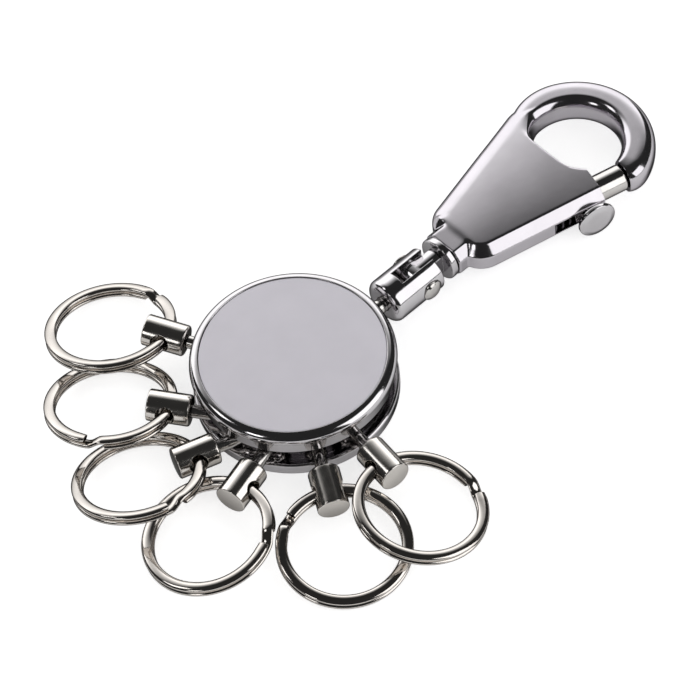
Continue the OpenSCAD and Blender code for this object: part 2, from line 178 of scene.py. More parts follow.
class HookSizes(bpy.types.PropertyGroup):
    """Sizes of the snap hook"""

    body_h: length("Body thickness", "Thickness of the body", 6.4)
    crown: length("Crown", "How far the faces swell", 0.38)
    bevel: length("Bevel", "Width of the bevel round the faces", 1.7)
    neck_r: length("Neck radius", "Half width of the neck", 4.0)
    neck_l: length("Neck length", "Length of the neck", 1.76)
    shoulder_r: length("Shoulder radius", "Rounding of the shoulders", 4.5)
    shoulder_y: length("Shoulder place", "Middle of a shoulder's rounding", 2.7)
    cheek_r: length("Cheek radius", "Rounding beside the eye", 5.71)
    cheek_y: length("Cheek place", "Middle of the cheek's rounding", 6.8)
    length: length("Loop place", "From the neck's end to the loop", 31.1)
    loop_r: length("Loop radius", "Radius of the bar's middle", 10.7)
    bar_w: length("Bar width", "Width of the loop's bar", 5.8)
    bar_h: length("Bar height", "Height of the loop's bar", 6.0)
    gate_x: length("Gate place", "From the neck's end to the bolt's mouth", 26.924)
    gate_y: length("Gate offset", "From the hook's middle to the bolt's mouth", 8.585)
    gate_l: length("Gate length", "Gap that the bolt closes", 5.6)
    housing_r: length("Housing radius", "Rounding at the bolt's mouth", 3.622)
    bolt_r: length("Bolt radius", "Radius of the bolt", 2.35)
    bolt_l: length("Bolt depth", "Length inside the closed body", 5.04)
    travel: length("Bolt travel", "How far the bolt slides", 5.8)
    spring_l: length("Spring room", "Room for the pressed spring", 3.0)
    stem_r: length("Stem radius", "Radius of the knob's stem", 1.1)
    knob_r: length("Knob radius", "Radius of the knob's cap", 3.4)
    knob_h: length("Knob height", "Height of the knob's cap", 1.7)
    knob_y: length("Knob reach", "From the bolt's axis to the cap", 4.42)
    knob_x: length("Knob place", "From the bolt's mouth to the knob", 2.84)
    grain: length("Skin grain", "Mesh size of the cast body", 0.13)


class Finishes(bpy.types.PropertyGroup):
    """Colours of the plating"""

    satin: tone("Satin", "Colour of the satin face", (0.93, 0.90, 0.97))
    chrome: tone("Chrome", "Colour of the polished plating", (0.80, 0.78, 0.80))
    hook: tone("Hook", "Colour of the hook's plating", (0.74, 0.71, 0.75))
    wire: tone("Wire", "Colour of the split rings", (0.90, 0.85, 0.80))
    barrel: tone("Barrel", "Colour of the barrels", (0.96, 0.92, 0.87))
    nickel: tone("Nickel", "Colour of studs and pins", (0.80, 0.775, 0.75))
    steel: tone("Steel", "Colour of the inner steel", (0.50, 0.50, 0.52))


class StudioSettings(bpy.types.PropertyGroup):
    """Camera"""

    lens: FloatProperty(name="Lens", description="Focal length", default=199.8, unit="CAMERA")
    distance: length("Distance", "From the camera to the disc", 637.0)
    elevation: angle("Elevation", "Camera's elevation", 53.8)
    azimuth: angle("Azimuth", "Camera's turn round the disc", -37.5)
    roll: angle("Roll", "Camera's roll", 7.23)
    aim_x: length("Aim across", "Disc's offset across the picture", -8.6)
    aim_y: length("Aim up", "Disc's offset up the picture", -6.383)


def in_mm(group):
    """Values of a property group, with its lengths in millimetres."""
    values = {key: getattr(group, key) for key in type(group).__annotations__}
    for key, value in values.items():
        if group.bl_rna.properties[key].subtype == "DISTANCE":
            values[key] = round(value / MM, 6)
    return SimpleNamespace(**values)


def clamp(value):
    """Value held between 0 and 1."""
    return min(1.0, max(0.0, value))


def circle(count):
    """Angles of count points round a circle."""
    return [2 * math.pi * k / count for k in range(count)]


def fuller(value, power):
    """Sine or cosine of an oval whose sides are fuller for a higher power."""
    return math.copysign(abs(value) ** (2 / power), value)


def heights(node):
    """Lowest and highest point of a node."""
    return [corner.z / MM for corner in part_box(node)]


def base_at(origin, x_axis, z_axis):
    """Matrix whose X and Z axes point as given, with Z made square to X."""
    x = Vector(x_axis).normalized()
    y = Vector(z_axis).cross(x).normalized()
    turn = Matrix((x, y, x.cross(y))).transposed().to_4x4()
    return Matrix.Translation(Vector(origin)) @ turn


# Matrix that stands a turned piece up, with its own X along Z.
UPRIGHT = base_at((0, 0, 0), (0, 0, 1), (1, 0, 0))


def joint_point(name):
    return Vector(JOINTS[name]["pos_m"]) / MM


def joint_axis(name):
    return Vector(JOINTS[name]["axis"]).normalized()


def fillet(corners, steps=8):
    """Closed outline from (u, v) or (u, v, radius) corners, with arcs at the radii."""
    points = []
    count = len(corners)
    for i, corner in enumerate(corners):
        here = Vector(corner[:2])
        radius = corner[2] if len(corner) > 2 else 0
        if radius <= 0:
            points.append(here)
            continue
        back = Vector(corners[i - 1][:2]) - here
        ahead = Vector(corners[(i + 1) % count][:2]) - here
        half = back.angle(ahead) / 2
        reach = min(radius / math.tan(half), back.length * 0.49, ahead.length * 0.49)
        start = here + back.normalized() * reach
        end = here + ahead.normalized() * reach
        centre = here + (back.normalized() + ahead.normalized()).normalized() * (reach / math.cos(half))
        first = start - centre
        sweep = first.angle_signed(end - centre)
        points += [centre + Matrix.Rotation(-sweep * step / steps, 2) @ first for step in range(steps + 1)]
    return points


def new_object(name, verts, faces):
    mesh = bpy.data.meshes.new(name)
    mesh.from_pydata([tuple(v) for v in verts], [], faces)
    obj = bpy.data.objects.new(name, mesh)
    bpy.context.scene.collection.objects.link(obj)
    return obj


def outward(obj):
    """Makes every face point outward."""
    bm = bmesh.new()
    bm.from_mesh(obj.data)
    bmesh.ops.remove_doubles(bm, verts=bm.verts, dist=1e-5)
    bmesh.ops.recalc_face_normals(bm, faces=bm.faces)
    bm.to_mesh(obj.data)
    bm.free()
    return obj


def solid(name, verts, faces, matrix):
    """Closed mesh, placed by the matrix."""
    obj = outward(new_object(name, verts, faces))
    obj.data.transform(matrix)
    return obj


def skin_faces(first, last, around):
    """Faces between rows of points, from the row that starts at first to the one at last."""
    pairs = [(start + k, start + (k + 1) % around) for start in range(first, last, around)
             for k in range(around)]
    return [(a, b, b + around, a + around) for a, b in pairs]


def swept_faces(count, around):
    """Faces between count rows of points, with a lid on the first and the last row."""
    last = (count - 1) * around
    lids = [tuple(range(around - 1, -1, -1)), tuple(range(last, last + around))]
    return skin_faces(0, last, around) + lids


def swept(name, rows, matrix):
    """Solid whose skin runs from row to row of points."""
    verts = [point for row in rows for point in row]
    return solid(name, verts, swept_faces(len(rows), len(rows[0])), matrix)


def prism(name, outline, low, high, matrix):
    """Straight prism over an outline."""
    return swept(name, [[(*point, z) for point in outline] for z in (low, high)], matrix)


def block(name, low, high, matrix):
    """Box between two corners."""
    (x, y, z), (far_x, far_y, far_z) = low, high
    return prism(name, [(x, y), (far_x, y), (far_x, far_y), (x, far_y)], z, far_z, matrix)


def turned(name, outline, matrix, segments=96, stride=None):
    """Solid turned round the local X axis from an outline of (x, r) corners, closed on the axis."""
    points = fillet(outline)
    if stride:
        dense = []
        for i, point in enumerate(points):
            after = points[(i + 1) % len(points)]
            pieces = int((after - point).length / stride) if min(point.y, after.y) > 0 else 0
            dense += [point] + [point.lerp(after, k / (pieces + 1)) for k in range(1, pieces + 1)]
        points = dense
    verts, rows = [], []
    for point in points:
        if point.y < 1e-6:
            rows.append([len(verts)] * segments)
            verts.append(Vector((point.x, 0, 0)))
            continue
        rows.append(list(range(len(verts), len(verts) + segments)))
        verts += [Vector((point.x, point.y * math.cos(a), point.y * math.sin(a))) for a in circle(segments)]
    faces = []
    for i, row in enumerate(rows):
        after = rows[(i + 1) % len(rows)]
        for s in range(segments):
            t = (s + 1) % segments
            loop = [row[s], row[t], after[t], after[s]]
            loop = [v for k, v in enumerate(loop) if v not in loop[:k]]
            if len(loop) > 2:
                faces.append(loop)
    return solid(name, verts, faces, matrix)


def rod(name, start, end, radius, matrix, segments=48, stride=None):
    """Plain round rod along the local X axis."""
    return turned(name, [(start, 0), (start, radius), (end, radius), (end, 0)], matrix, segments, stride)


def ball_outline(centre, radius, count):
    """Outline of a ball head, from its pole towards the shaft."""
    return [(centre - radius * math.cos(a), radius * math.sin(a))
            for a in (math.pi * k / 24 for k in range(count))]


def spring(name, radius, wire, turns, start, end, matrix):
    """Coil spring round the local X axis; wire is the wire's radius."""
    sides, steps = 12, turns * 40
    pitch = (end - start - 2 * wire) / steps
    rows = []
    for step in range(steps + 1):
        a = 2 * math.pi * turns * step / steps
        out = Vector((0, math.cos(a), math.sin(a)))
        centre = out * radius + X_AXIS * (start + wire + pitch * step)
        rows.append([centre + (out * math.cos(b) + X_AXIS * math.sin(b)) * wire for b in circle(sides)])
    return swept(name, rows, matrix)


def settle(obj):
    """Applies the object's modifiers to its mesh."""
    bpy.context.view_layer.update()
    graph = bpy.context.evaluated_depsgraph_get()
    mesh = bpy.data.meshes.new_from_object(obj.evaluated_get(graph))
    old = obj.data
    obj.modifiers.clear()
    obj.data = mesh
    bpy.data.meshes.remove(old)
    return obj


def combined(obj, others, how):
    """Boolean of obj with each of others, which are then removed."""
    for other in others:
        modifier = obj.modifiers.new("join", "BOOLEAN")
        modifier.operation = how
        modifier.solver = "EXACT"
        modifier.object = other
        settle(obj)
        bpy.data.objects.remove(other)
    return obj


def cut(obj, *cutters):
    return combined(obj, cutters, "DIFFERENCE")


def fused(obj, *others):
    return combined(obj, others, "UNION")


def eased(obj, width):
    """Rounds the sharp edges a little, so that they catch the light."""
    bevel = obj.modifiers.new("ease", "BEVEL")
    bevel.width = width
    bevel.segments = 2
    bevel.limit_method = "ANGLE"
    bevel.angle_limit = math.radians(28)
    bevel.use_clamp_overlap = True
    return settle(obj)


def smoothing(obj, rounds):
    """Modifier that evens out the skin."""
    smooth = obj.modifiers.new("soft", "SMOOTH")
    smooth.factor = 0.5
    smooth.iterations = rounds
    return smooth


def recast(obj, grain, rounds):
    """Melts the pieces of obj into one skin with soft edges, as a casting has."""
    remesh = obj.modifiers.new("skin", "REMESH")
    remesh.mode = "VOXEL"
    remesh.voxel_size = grain
    remesh.use_smooth_shade = True
    smoothing(obj, rounds)
    return settle(obj)


def softened(obj, spots, rounds):
    """Smooths the skin near the given spots (point, radius) only."""
    group = obj.vertex_groups.new(name="soft")
    for vertex in obj.data.vertices:
        near = max(1 - (vertex.co - point).length / radius for point, radius in spots)
        if near > 0:
            group.add([vertex.index], min(1.0, near * 2), "REPLACE")
    smoothing(obj, rounds).vertex_group = "soft"
    settle(obj)
    obj.vertex_groups.clear()
    return obj


def lumped(obj, *others):
    """Puts the meshes of others into obj as they are."""
    bm = bmesh.new()
    bm.from_mesh(obj.data)
    for other in others:
        bm.from_mesh(other.data)
        bpy.data.objects.remove(other)
    bm.to_mesh(obj.data)
    bm.free()
    return obj


def shown(obj, body, node, finish_name, smooth_angle=30, weigh=True):
    """Brings a finished piece to metres, shades it, gives it its finish's material, ties it to its body and
    hides its node.
    """
    obj.data.transform(Matrix.Scale(MM, 4))
    for face in obj.data.polygons:
        face.use_smooth = True
    obj.data.set_sharp_from_angle(angle=math.radians(smooth_angle))
    if weigh:
        obj.modifiers.new("even", "WEIGHTED_NORMAL").keep_sharp = True
        settle(obj)
    material, slot = finish(finish_name)
    obj.data.materials.clear()
    obj.data.materials.append(material)
    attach(obj, body)
    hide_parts(node)
    return obj


def pressed(coil):
    """Gives the spring its own copy of its mesh."""
    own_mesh(coil)


def add(tree, kind, **inputs):
    """Adds a shader node and sets or links its inputs by name, or by place as in0, in1."""
    node = tree.nodes.new(kind)
    for key, value in inputs.items():
        if hasattr(node, key) and key not in node.inputs:
            setattr(node, key, value)
            continue
        place = int(key[2:]) if key[:2] == "in" and key[2:].isdigit() else key.replace("_", " ")
        socket = node.inputs[place]
        if isinstance(value, bpy.types.NodeSocket):
            tree.links.new(value, socket)
        else:
            socket.default_value = value
    return node


def noise(tree, place, scale, detail, rough=0.5):
    """Noise over the given place."""
    return add(tree, "ShaderNodeTexNoise", Vector=place, Scale=scale, Detail=detail,
               Roughness=rough).outputs["Fac"]


def ranged(tree, value, low, high, to_low=0.0, to_high=1.0):
    """Value brought from the range low to high into another range."""
    return add(tree, "ShaderNodeMapRange", Value=value, in1=low, in2=high, in3=to_low,
               in4=to_high).outputs[0]


def scaled_sum(tree, value, factor, more):
    """Value times factor, plus more."""
    return add(tree, "ShaderNodeMath", operation="MULTIPLY_ADD", in0=value, in1=factor,
               in2=more).outputs[0]


def plated(name, colour, rough, spread, mottle=0.03, grain=0.0, streak=None, metal=1.0,
           edge=(0.5, 0.76)):
    """Plated metal: mottled colour, uneven roughness, fine scratches and, if asked, drawn streaks.

    Streak is (scale along, scale across, depth); a painted dark reflection darkens the colour where the
    surface turns away from the eye, between the two shares of edge.
    """
    material = bpy.data.materials.new(name)
    material.use_nodes = True
    tree = material.node_tree
    shader = tree.nodes["Principled BSDF"]
    shader.inputs["Metallic"].default_value = metal
    shader.inputs["Specular IOR Level"].default_value = 0.5
    shader.inputs["Specular Tint"].default_value = (0.3, 0.3, 0.3, 1)
    place = add(tree, "ShaderNodeTexCoord").outputs["Object"]
    in_mm_place = add(tree, "ShaderNodeMapping", Vector=place, Scale=(1000, 1000, 1000)).outputs[0]

    tint = add(tree, "ShaderNodeValToRGB", Fac=noise(tree, in_mm_place, 0.16, 4.0, 0.55))
    for stop, at, level in zip(tint.color_ramp.elements, (0.3, 0.7), (1 - 2 * mottle, 1 + mottle)):
        stop.position = at
        stop.color = tuple(min(1, c * level) for c in colour) + (1,)
    # Painted dark reflection: the base colour falls towards 0.12 of itself where the surface turns away from
    # the eye.
    facing = add(tree, "ShaderNodeLayerWeight", Blend=0.5).outputs["Facing"]
    painted_dark_reflection = add(tree, "ShaderNodeMix", data_type="RGBA")
    tree.links.new(ranged(tree, facing, *edge), painted_dark_reflection.inputs["Factor"])
    tree.links.new(tint.outputs["Color"], painted_dark_reflection.inputs[6])
    painted_dark_reflection.inputs[7].default_value = tuple(c * 0.12 for c in colour) + (1,)
    tree.links.new(painted_dark_reflection.outputs[2], shader.inputs["Base Color"])

    scratches = None
    for turn, stretch in ((0.5, (9, 0.35, 9)), (1.9, (0.3, 11, 11)), (2.7, (12, 12, 0.4))):
        lay = add(tree, "ShaderNodeMapping", Vector=in_mm_place, Rotation=(turn, turn * 0.7, turn),
                  Scale=stretch).outputs[0]
        lines = ranged(tree, noise(tree, lay, 0.7, 5.0, 0.7), 0.62, 0.74)
        scratches = lines if scratches is None else add(
            tree, "ShaderNodeMath", operation="MAXIMUM", in0=scratches, in1=lines).outputs[0]
    haze = noise(tree, in_mm_place, 0.55, 6.0, 0.6)
    uneven = ranged(tree, haze, 0.3, 0.75, rough - spread, rough + spread)
    tree.links.new(scaled_sum(tree, scratches, spread * 1.2, uneven), shader.inputs["Roughness"])

    height = scaled_sum(tree, scratches, -0.25, 0.0)
    if grain:
        height = scaled_sum(tree, noise(tree, in_mm_place, 9.0, 3.0, 0.7), grain, height)
    if streak:
        along = add(tree, "ShaderNodeUVMap").outputs[0]
        drawn = add(tree, "ShaderNodeMapping", Vector=along, Scale=(streak[0], streak[1], 1)).outputs[0]
        height = scaled_sum(tree, noise(tree, drawn, 1.0, 4.0, 0.65), streak[2], height)
    height = scaled_sum(tree, noise(tree, in_mm_place, 0.35, 2.0), 1.2, height)
    rounded = add(tree, "ShaderNodeBevel", samples=6, Radius=0.00013).outputs[0]
    bump = add(tree, "ShaderNodeBump", Height=height, Strength=0.35, Distance=0.000015, Normal=rounded)
    tree.links.new(bump.outputs[0], shader.inputs["Normal"])
    return material


# Each finish: its colour's name, roughness, spread of the roughness, and what else sets it apart; edge is the
# band of facing over which the painted dark reflection sets in.
FINISHES = {
    "satin_face": ("satin", 0.4, 0.03, {"mottle": 0.015, "grain": 0.5, "metal": 0.25}),
    "polished_chrome": ("chrome", 0.09, 0.03, {}),
    "hook_chrome": ("hook", 0.13, 0.03, {}),
    "ring_wire": ("wire", 0.085, 0.03, {"mottle": 0.05, "streak": (0.12, 7.0, 0.35), "edge": (0.3, 0.6)}),
    "turned_nickel": ("barrel", 0.16, 0.03, {"edge": (0.5, 0.72)}),
    "nickel_plate": ("nickel", 0.12, 0.04, {"mottle": 0.04}),
    "inner_steel": ("steel", 0.3, 0.06, {"mottle": 0.06, "grain": 0.3}),
}
made_finishes = {}


def finish(name):
    """A material and the record's slot it stands for, made once."""
    if name not in made_finishes:
        colour, rough, spread, more = FINISHES[name]
        material = plated(name, getattr(bpy.context.scene.clip_finishes, colour), rough, spread, **more)
        made_finishes[name] = (material, "nickel_plate" if name == "turned_nickel" else name)
    return made_finishes[name]


def face_seat(sizes):
    """Height of the cap's floor under the face plate."""
    return DISC_H - sizes.face_h - sizes.face_drop


class CLIP_OT_face_plate(bpy.types.Operator):
    """Make the satin face plate"""

    bl_idname = "key_clip.face_plate"
    bl_label = "Face plate"

    def execute(self, context):
        sizes = in_mm(context.scene.clip_disc)
        bottom = face_seat(sizes)
        top = bottom + sizes.face_h
        plate = turned("face_plate_satin", [
            (bottom, 0), (bottom, sizes.face_r), (top, sizes.face_r, 0.12), (top, 0)], UPRIGHT, 192)
        shown(plate, "disc", "face_plate", "satin_face")
        return {"FINISHED"}


class CLIP_OT_cap(bpy.types.Operator):
    """Make the plated cap with its rim, band and race"""

    bl_idname = "key_clip.cap"
    bl_label = "Cap"

    def execute(self, context):
        sizes = in_mm(context.scene.clip_disc)
        seat = face_seat(sizes)
        roof_z = seat - sizes.roof_h
        rim_z = DISC_H - sizes.rim_h
        skirt_z = sizes.base_h + sizes.skirt_gap
        skirt_r = sizes.race_in - sizes.skirt_w
        lip = sizes.face_r + sizes.rim_gap
        roll = sizes.rim_round
        rolled = [(DISC_H - roll * (1 - math.cos(a)), DISC_R - roll * (1 - math.sin(a)))
                  for a in (math.pi / 2 * k / 14 for k in range(15))]
        cap = turned("cap_plated", [
            (seat, 0), (seat, lip), (DISC_H - sizes.rim_gap, lip, 0.04), *rolled, (rim_z, DISC_R, 0.12),
            (rim_z, sizes.band_r, 0.08), (sizes.slot_top, sizes.band_r, 0.15),
            (sizes.slot_top, sizes.race_out, 0.15), (sizes.race_top, sizes.race_out),
            (sizes.race_top, sizes.race_in), (skirt_z, sizes.race_in, 0.1), (skirt_z, skirt_r, 0.1),
            (sizes.slot_top, skirt_r), (sizes.slot_top, sizes.well_r), (roof_z, sizes.well_r),
            (roof_z, 0)], UPRIGHT, 192)
        shown(cap, "disc", "cap", "polished_chrome")
        return {"FINISHED"}


class CLIP_OT_base_plate(bpy.types.Operator):
    """Make the sliding base plate"""

    bl_idname = "key_clip.base_plate"
    bl_label = "Base plate"

    def execute(self, context):
        sizes = in_mm(context.scene.clip_disc)
        top = heights("base_plate")[1]
        roof_z = top - sizes.roof_h
        flange_r = DISC_R - FIT
        bore_r = sizes.post_r + FIT
        base = turned("base_plate_plated", [
            (0, sizes.pocket_r, 0.2), (0, flange_r, 0.5), (sizes.base_h, flange_r, 0.5),
            (sizes.base_h, sizes.race_out, 0.1), (sizes.race_low, sizes.race_out),
            (sizes.race_low, sizes.race_in), (sizes.base_h, sizes.race_in, 0.1),
            (sizes.base_h, sizes.hub_r), (top, sizes.hub_r, 0.2), (top, bore_r), (roof_z, bore_r),
            (roof_z, sizes.pocket_r)], UPRIGHT, 192)
        shown(base, "base", "base_plate", "polished_chrome")
        return {"FINISHED"}


class CLIP_OT_release(bpy.types.Operator):
    """Make the post, spring, washer and screw inside the base"""

    bl_idname = "key_clip.release"
    bl_label = "Release parts"

    def execute(self, context):
        post_r = in_mm(context.scene.clip_disc).post_r
        thread_r, thread_l, tip_r, tip_h = 1.3, 4.3, 1.7, 0.5
        low, high = heights("core_post")
        post = turned("core_post_turned", [
            (low, thread_r), (low, post_r, 0.1), (high - tip_h, post_r, 0.1), (high - tip_h, tip_r),
            (high, tip_r), (high, 0), (low + thread_l, 0), (low + thread_l, thread_r)], UPRIGHT)
        shown(post, "disc", "core_post", "inner_steel")

        low, high = heights("release_spring")
        coil = spring("release_spring_coil", 4.2, 0.3, 3, low, high, UPRIGHT)
        shown(coil, "disc", "release_spring", "inner_steel")
        pressed(coil)

        washer_r = 4.8
        low, high = heights("washer")
        washer = turned("washer_flat", [(low, thread_r, 0.05), (low, washer_r, 0.12),
                                        (high, washer_r, 0.12), (high, thread_r, 0.05)], UPRIGHT)
        shown(washer, "disc", "washer", "inner_steel")

        head_r, head_h, screw_r = 2.8, 1.1, 1.25
        drive_l, drive_w, drive_h = 1.87, 0.45, 0.55
        low, high = heights("base_screw")
        screw = turned("base_screw_head", [
            (low, 0), (low, head_r, 0.45), (low + head_h, head_r, 0.1), (low + head_h, screw_r),
            (high, screw_r, 0.2), (high, 0)], UPRIGHT)
        slots = [block("drive", (-drive_l, -drive_w, low - 1), (drive_l, drive_w, low + drive_h),
                       Matrix.Rotation(turn, 4, "Z")) for turn in (0, math.pi / 2)]
        eased(cut(screw, *slots), 0.05)
        shown(screw, "disc", "base_screw", "inner_steel")
        return {"FINISHED"}


def hole_point(number):
    """Middle of the barrel's cross hole, which the ring passes through."""
    sizes = in_mm(bpy.context.scene.clip_holders)
    reach = sizes.shaft_l + sizes.hole_x
    return joint_point(f"barrel_{number}_turn") + joint_axis(f"barrel_{number}_turn") * reach


def holder_frame(number):
    """Matrix at the ball's centre with X along the stud and Z along the barrel's upper side."""
    stud = joint_axis(f"barrel_{number}_turn")
    inward = joint_point(f"ring_{number}_run") - hole_point(number)
    hole = joint_axis(f"ring_{number}_run").cross(inward).normalized()
    return base_at(joint_point(f"barrel_{number}_turn"), stud, stud.cross(hole))


class CLIP_OT_studs(bpy.types.Operator):
    """Make the six studs with their ball heads"""

    bl_idname = "key_clip.studs"
    bl_label = "Ring studs"

    def execute(self, context):
        sizes = in_mm(context.scene.clip_holders)
        rivet = sizes.shaft_l + 1.0
        end = rivet + 0.55
        for number in HOLDERS:
            outline = ball_outline(0, sizes.ball_r, 20) + [
                (1.5, sizes.shaft_r, 0.15), (rivet, sizes.shaft_r), (rivet, sizes.rivet_r, 0.1),
                (end, sizes.rivet_r, 0.2), (end, 0)]
            stud = turned(f"ring_stud_{number}_turned", outline, holder_frame(number), 64)
            shown(stud, f"stud_{number}", f"ring_stud_{number}", "nickel_plate")
        return {"FINISHED"}


class CLIP_OT_barrels(bpy.types.Operator):
    """Make the six barrels with their cross holes"""

    bl_idname = "key_clip.barrels"
    bl_label = "Ring barrels"

    def execute(self, context):
        sizes = in_mm(context.scene.clip_holders)
        start = sizes.shaft_l
        end = start + sizes.barrel_l
        wall = start + 0.8
        mouth_r = sizes.shaft_r + 0.06
        room_r = sizes.rivet_r + 0.1
        room_end = wall + 1.0
        reach = sizes.barrel_r * 2
        for number in HOLDERS:
            here = holder_frame(number)
            barrel = turned(f"ring_barrel_{number}_plated", [
                (start, mouth_r), (start, sizes.barrel_r, 0.42), (end, sizes.barrel_r, 0.22), (end, 0),
                (room_end, 0), (room_end, room_r), (wall, room_r), (wall, mouth_r)], here, stride=0.5)
            across = here @ base_at((start + sizes.hole_x, 0, 0), (0, 1, 0), (1, 0, 0))
            eased(cut(barrel, rod("hole", -reach, reach, sizes.hole_r, across, 64)), 0.09)
            shown(barrel, f"barrel_{number}", f"ring_barrel_{number}", "turned_nickel")
        return {"FINISHED"}


def wound_ring(name, sizes, matrix, seed):
    """Split ring: two turns of flattened wire in one sweep, with a jog and two cut ends."""
    outline = [(fuller(math.cos(a), sizes.power) * sizes.wire_w / 2,
                fuller(math.sin(a), sizes.power) * sizes.wire_h / 2) for a in circle(28)]
    sides = len(outline)
    level = (sizes.wire_h + sizes.gap) / 2
    first = sizes.jog + sizes.end_gap
    last = 4 * math.pi - sizes.end_gap
    count = int(sizes.steps * (last - first) / (2 * math.pi))
    verts, along = [], []
    for step in range(count + 1):
        a = first + (last - first) * step / count
        share = clamp((a - 2 * math.pi) / sizes.jog)
        z = -level + 2 * level * share * share * (3 - 2 * share)
        wander = 0.02 * math.sin(3 * a + seed) * (1 - abs(2 * share - 1))
        shrink = 1 - 0.05 * max(0, 2 - min(step, count - step))
        out = Vector((math.cos(a), math.sin(a), 0))
        verts += [out * (sizes.mean_r + u * shrink + wander) + Vector((0, 0, z + v * shrink))
                  for u, v in outline]
        along.append(a * sizes.mean_r)
    obj = new_object(name, verts, swept_faces(count + 1, sides))

    # The wire's own map: length along the wire, then the way round its section.
    layer = obj.data.uv_layers.new(name="wire")
    girth = 2 * (sizes.wire_w + sizes.wire_h)
    for face in obj.data.polygons:
        corners = [(index, *divmod(obj.data.loops[index].vertex_index, sides)) for index in face.loop_indices]
        closing = max(side for _, _, side in corners) == sides - 1
        for index, step, side in corners:
            wrap = sides if side == 0 and closing else side
            layer.data[index].uv = (along[step] + 17 * seed, girth * wrap / sides)
    outward(obj)
    obj.data.transform(matrix)
    return obj


class CLIP_OT_split_rings(bpy.types.Operator):
    """Make the six split rings"""

    bl_idname = "key_clip.split_rings"
    bl_label = "Split rings"

    def execute(self, context):
        sizes = in_mm(context.scene.clip_rings)
        for number in HOLDERS:
            centre = joint_point(f"ring_{number}_run")
            here = base_at(centre, centre - hole_point(number), joint_axis(f"ring_{number}_run"))
            turn = Matrix.Rotation(math.radians(RING_ENDS[number - 1]), 4, "Z")
            ring = wound_ring(f"split_ring_{number}_wire", sizes, here @ turn, number)
            shown(ring, f"ring_{number}", f"split_ring_{number}", "ring_wire", 50)
        return {"FINISHED"}


class CLIP_OT_clevis(bpy.types.Operator):
    """Make the clevis with its stud and pin"""

    bl_idname = "key_clip.clevis"
    bl_label = "Clevis"

    def execute(self, context):
        sizes = in_mm(context.scene.clip_clevis)
        ball_x = joint_point("clevis_turn").x
        ball_r = in_mm(context.scene.clip_holders).ball_r
        shaft_r, rivet_r, rivet_l = 1.3, 2.0, 0.88
        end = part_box("clevis_stud")[1].x / MM
        stud = turned("clevis_stud_turned", ball_outline(ball_x, ball_r, 19) + [
            (ball_x + 1.5, shaft_r, 0.1), (end - rivet_l, shaft_r), (end - rivet_l, rivet_r, 0.1),
            (end, rivet_r, 0.25), (end, 0)], LEVEL, 64)
        shown(stud, "clevis_stud", "clevis_stud", "nickel_plate")

        fork_x = CLEVIS_END - sizes.fork_l
        room_x = fork_x - 1.3
        mouth_r = shaft_r + 0.06
        clevis = turned("clevis_plated", [
            (CLEVIS_X, mouth_r, 0.1), (CLEVIS_X, sizes.barrel_r, 1.25), (CLEVIS_END, sizes.barrel_r, 0.3),
            (CLEVIS_END, 0), (room_x, 0), (room_x, mouth_r)], LEVEL, stride=0.6)
        half = sizes.fork_gap / 2
        slot = block("slot", (fork_x, -half, -OVERSIZE), (CLEVIS_END + 1, half, OVERSIZE), LEVEL)
        across = LEVEL @ base_at((PIN_X, 0, 0), (0, -1, 0), (1, 0, 0))
        bore = rod("bore", -OVERSIZE, OVERSIZE, sizes.pin_r + FIT, across)
        seats = [rod("seat", side * 3.69, side * OVERSIZE, sizes.pin_head_r + 0.1, across)
                 for side in (-1, 1)]
        room = rod("room", room_x + 0.02, fork_x + 0.2, rivet_r + 0.2, LEVEL)
        eased(cut(clevis, slot, bore, *seats, room), 0.1)
        shown(clevis, "clevis", "clevis", "polished_chrome")

        pin_r, head_r, inside, outside = sizes.pin_r, sizes.pin_head_r, 3.72, 4.05
        pin = turned("clevis_pin_turned", [
            (-outside, 0), (-outside, head_r, 0.15), (-inside, head_r), (-inside, pin_r), (inside, pin_r),
            (inside, head_r, 0.08), (outside, head_r, 0.15), (4.45, 1.25, 1.0), (4.6, 0)], across, 64)
        shown(pin, "clevis", "clevis_pin", "nickel_plate")
        return {"FINISHED"}


class CLIP_OT_swivel(bpy.types.Operator):
    """Make the swivel shank"""

    bl_idname = "key_clip.swivel"
    bl_label = "Swivel shank"

    def execute(self, context):
        sizes = in_mm(context.scene.clip_clevis)
        start = NECK_X - 1.4
        neck = start + sizes.collar_l
        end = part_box("swivel_shank")[1].x / MM
        half_h, half_w = sizes.tongue_h / 2, sizes.tongue_w / 2
        across = LEVEL @ base_at((PIN_X, 0, 0), (0, 1, 0), (1, 0, 0))
        tongue = rod("tongue", PIN_X, start + 0.4, half_h, LEVEL, 64, stride=0.6)
        fused(tongue, rod("knuckle", -2, 2, half_h, across, 64))
        slab = block("slab", (PIN_X - 5, -half_w, -5), (start + 0.6, half_w, 5), LEVEL)
        combined(tongue, [slab], "INTERSECT")
        shank = turned("swivel_shank_plated", [
            (start, 0), (start, sizes.collar_r, 0.3), (neck, sizes.collar_r, 0.2), (neck, sizes.journal_r),
            (end - 0.9, sizes.journal_r), (end - 0.9, sizes.head_r, 0.2), (end, sizes.head_r, 0.2),
            (end, 0)], LEVEL)
        fused(shank, tongue)
        eased(cut(shank, rod("pin_bore", -4, 4, sizes.pin_r + FIT, across)), 0.1)
        shown(shank, "swivel", "swivel_shank", "polished_chrome")
        return {"FINISHED"}


def hull_row(discs, inset, count):
    """Points round the hull of discs (x, y, r), drawn in by inset(direction), dense on the straights."""
    corners = []
    for a in circle(count):
        n = Vector((math.cos(a), math.sin(a)))
        x, y, r = max(discs, key=lambda disc: disc[0] * n.x + disc[1] * n.y + disc[2])
        corners.append(Vector((x, y)) + n * (r - inset(n)))
    row = []
    for k, corner in enumerate(corners):
        after = corners[(k + 1) % count]
        pieces = STRAIGHT if (after - corner).length > 2.0 else 1
        row += [corner.lerp(after, j / pieces) for j in range(pieces)]
    return row


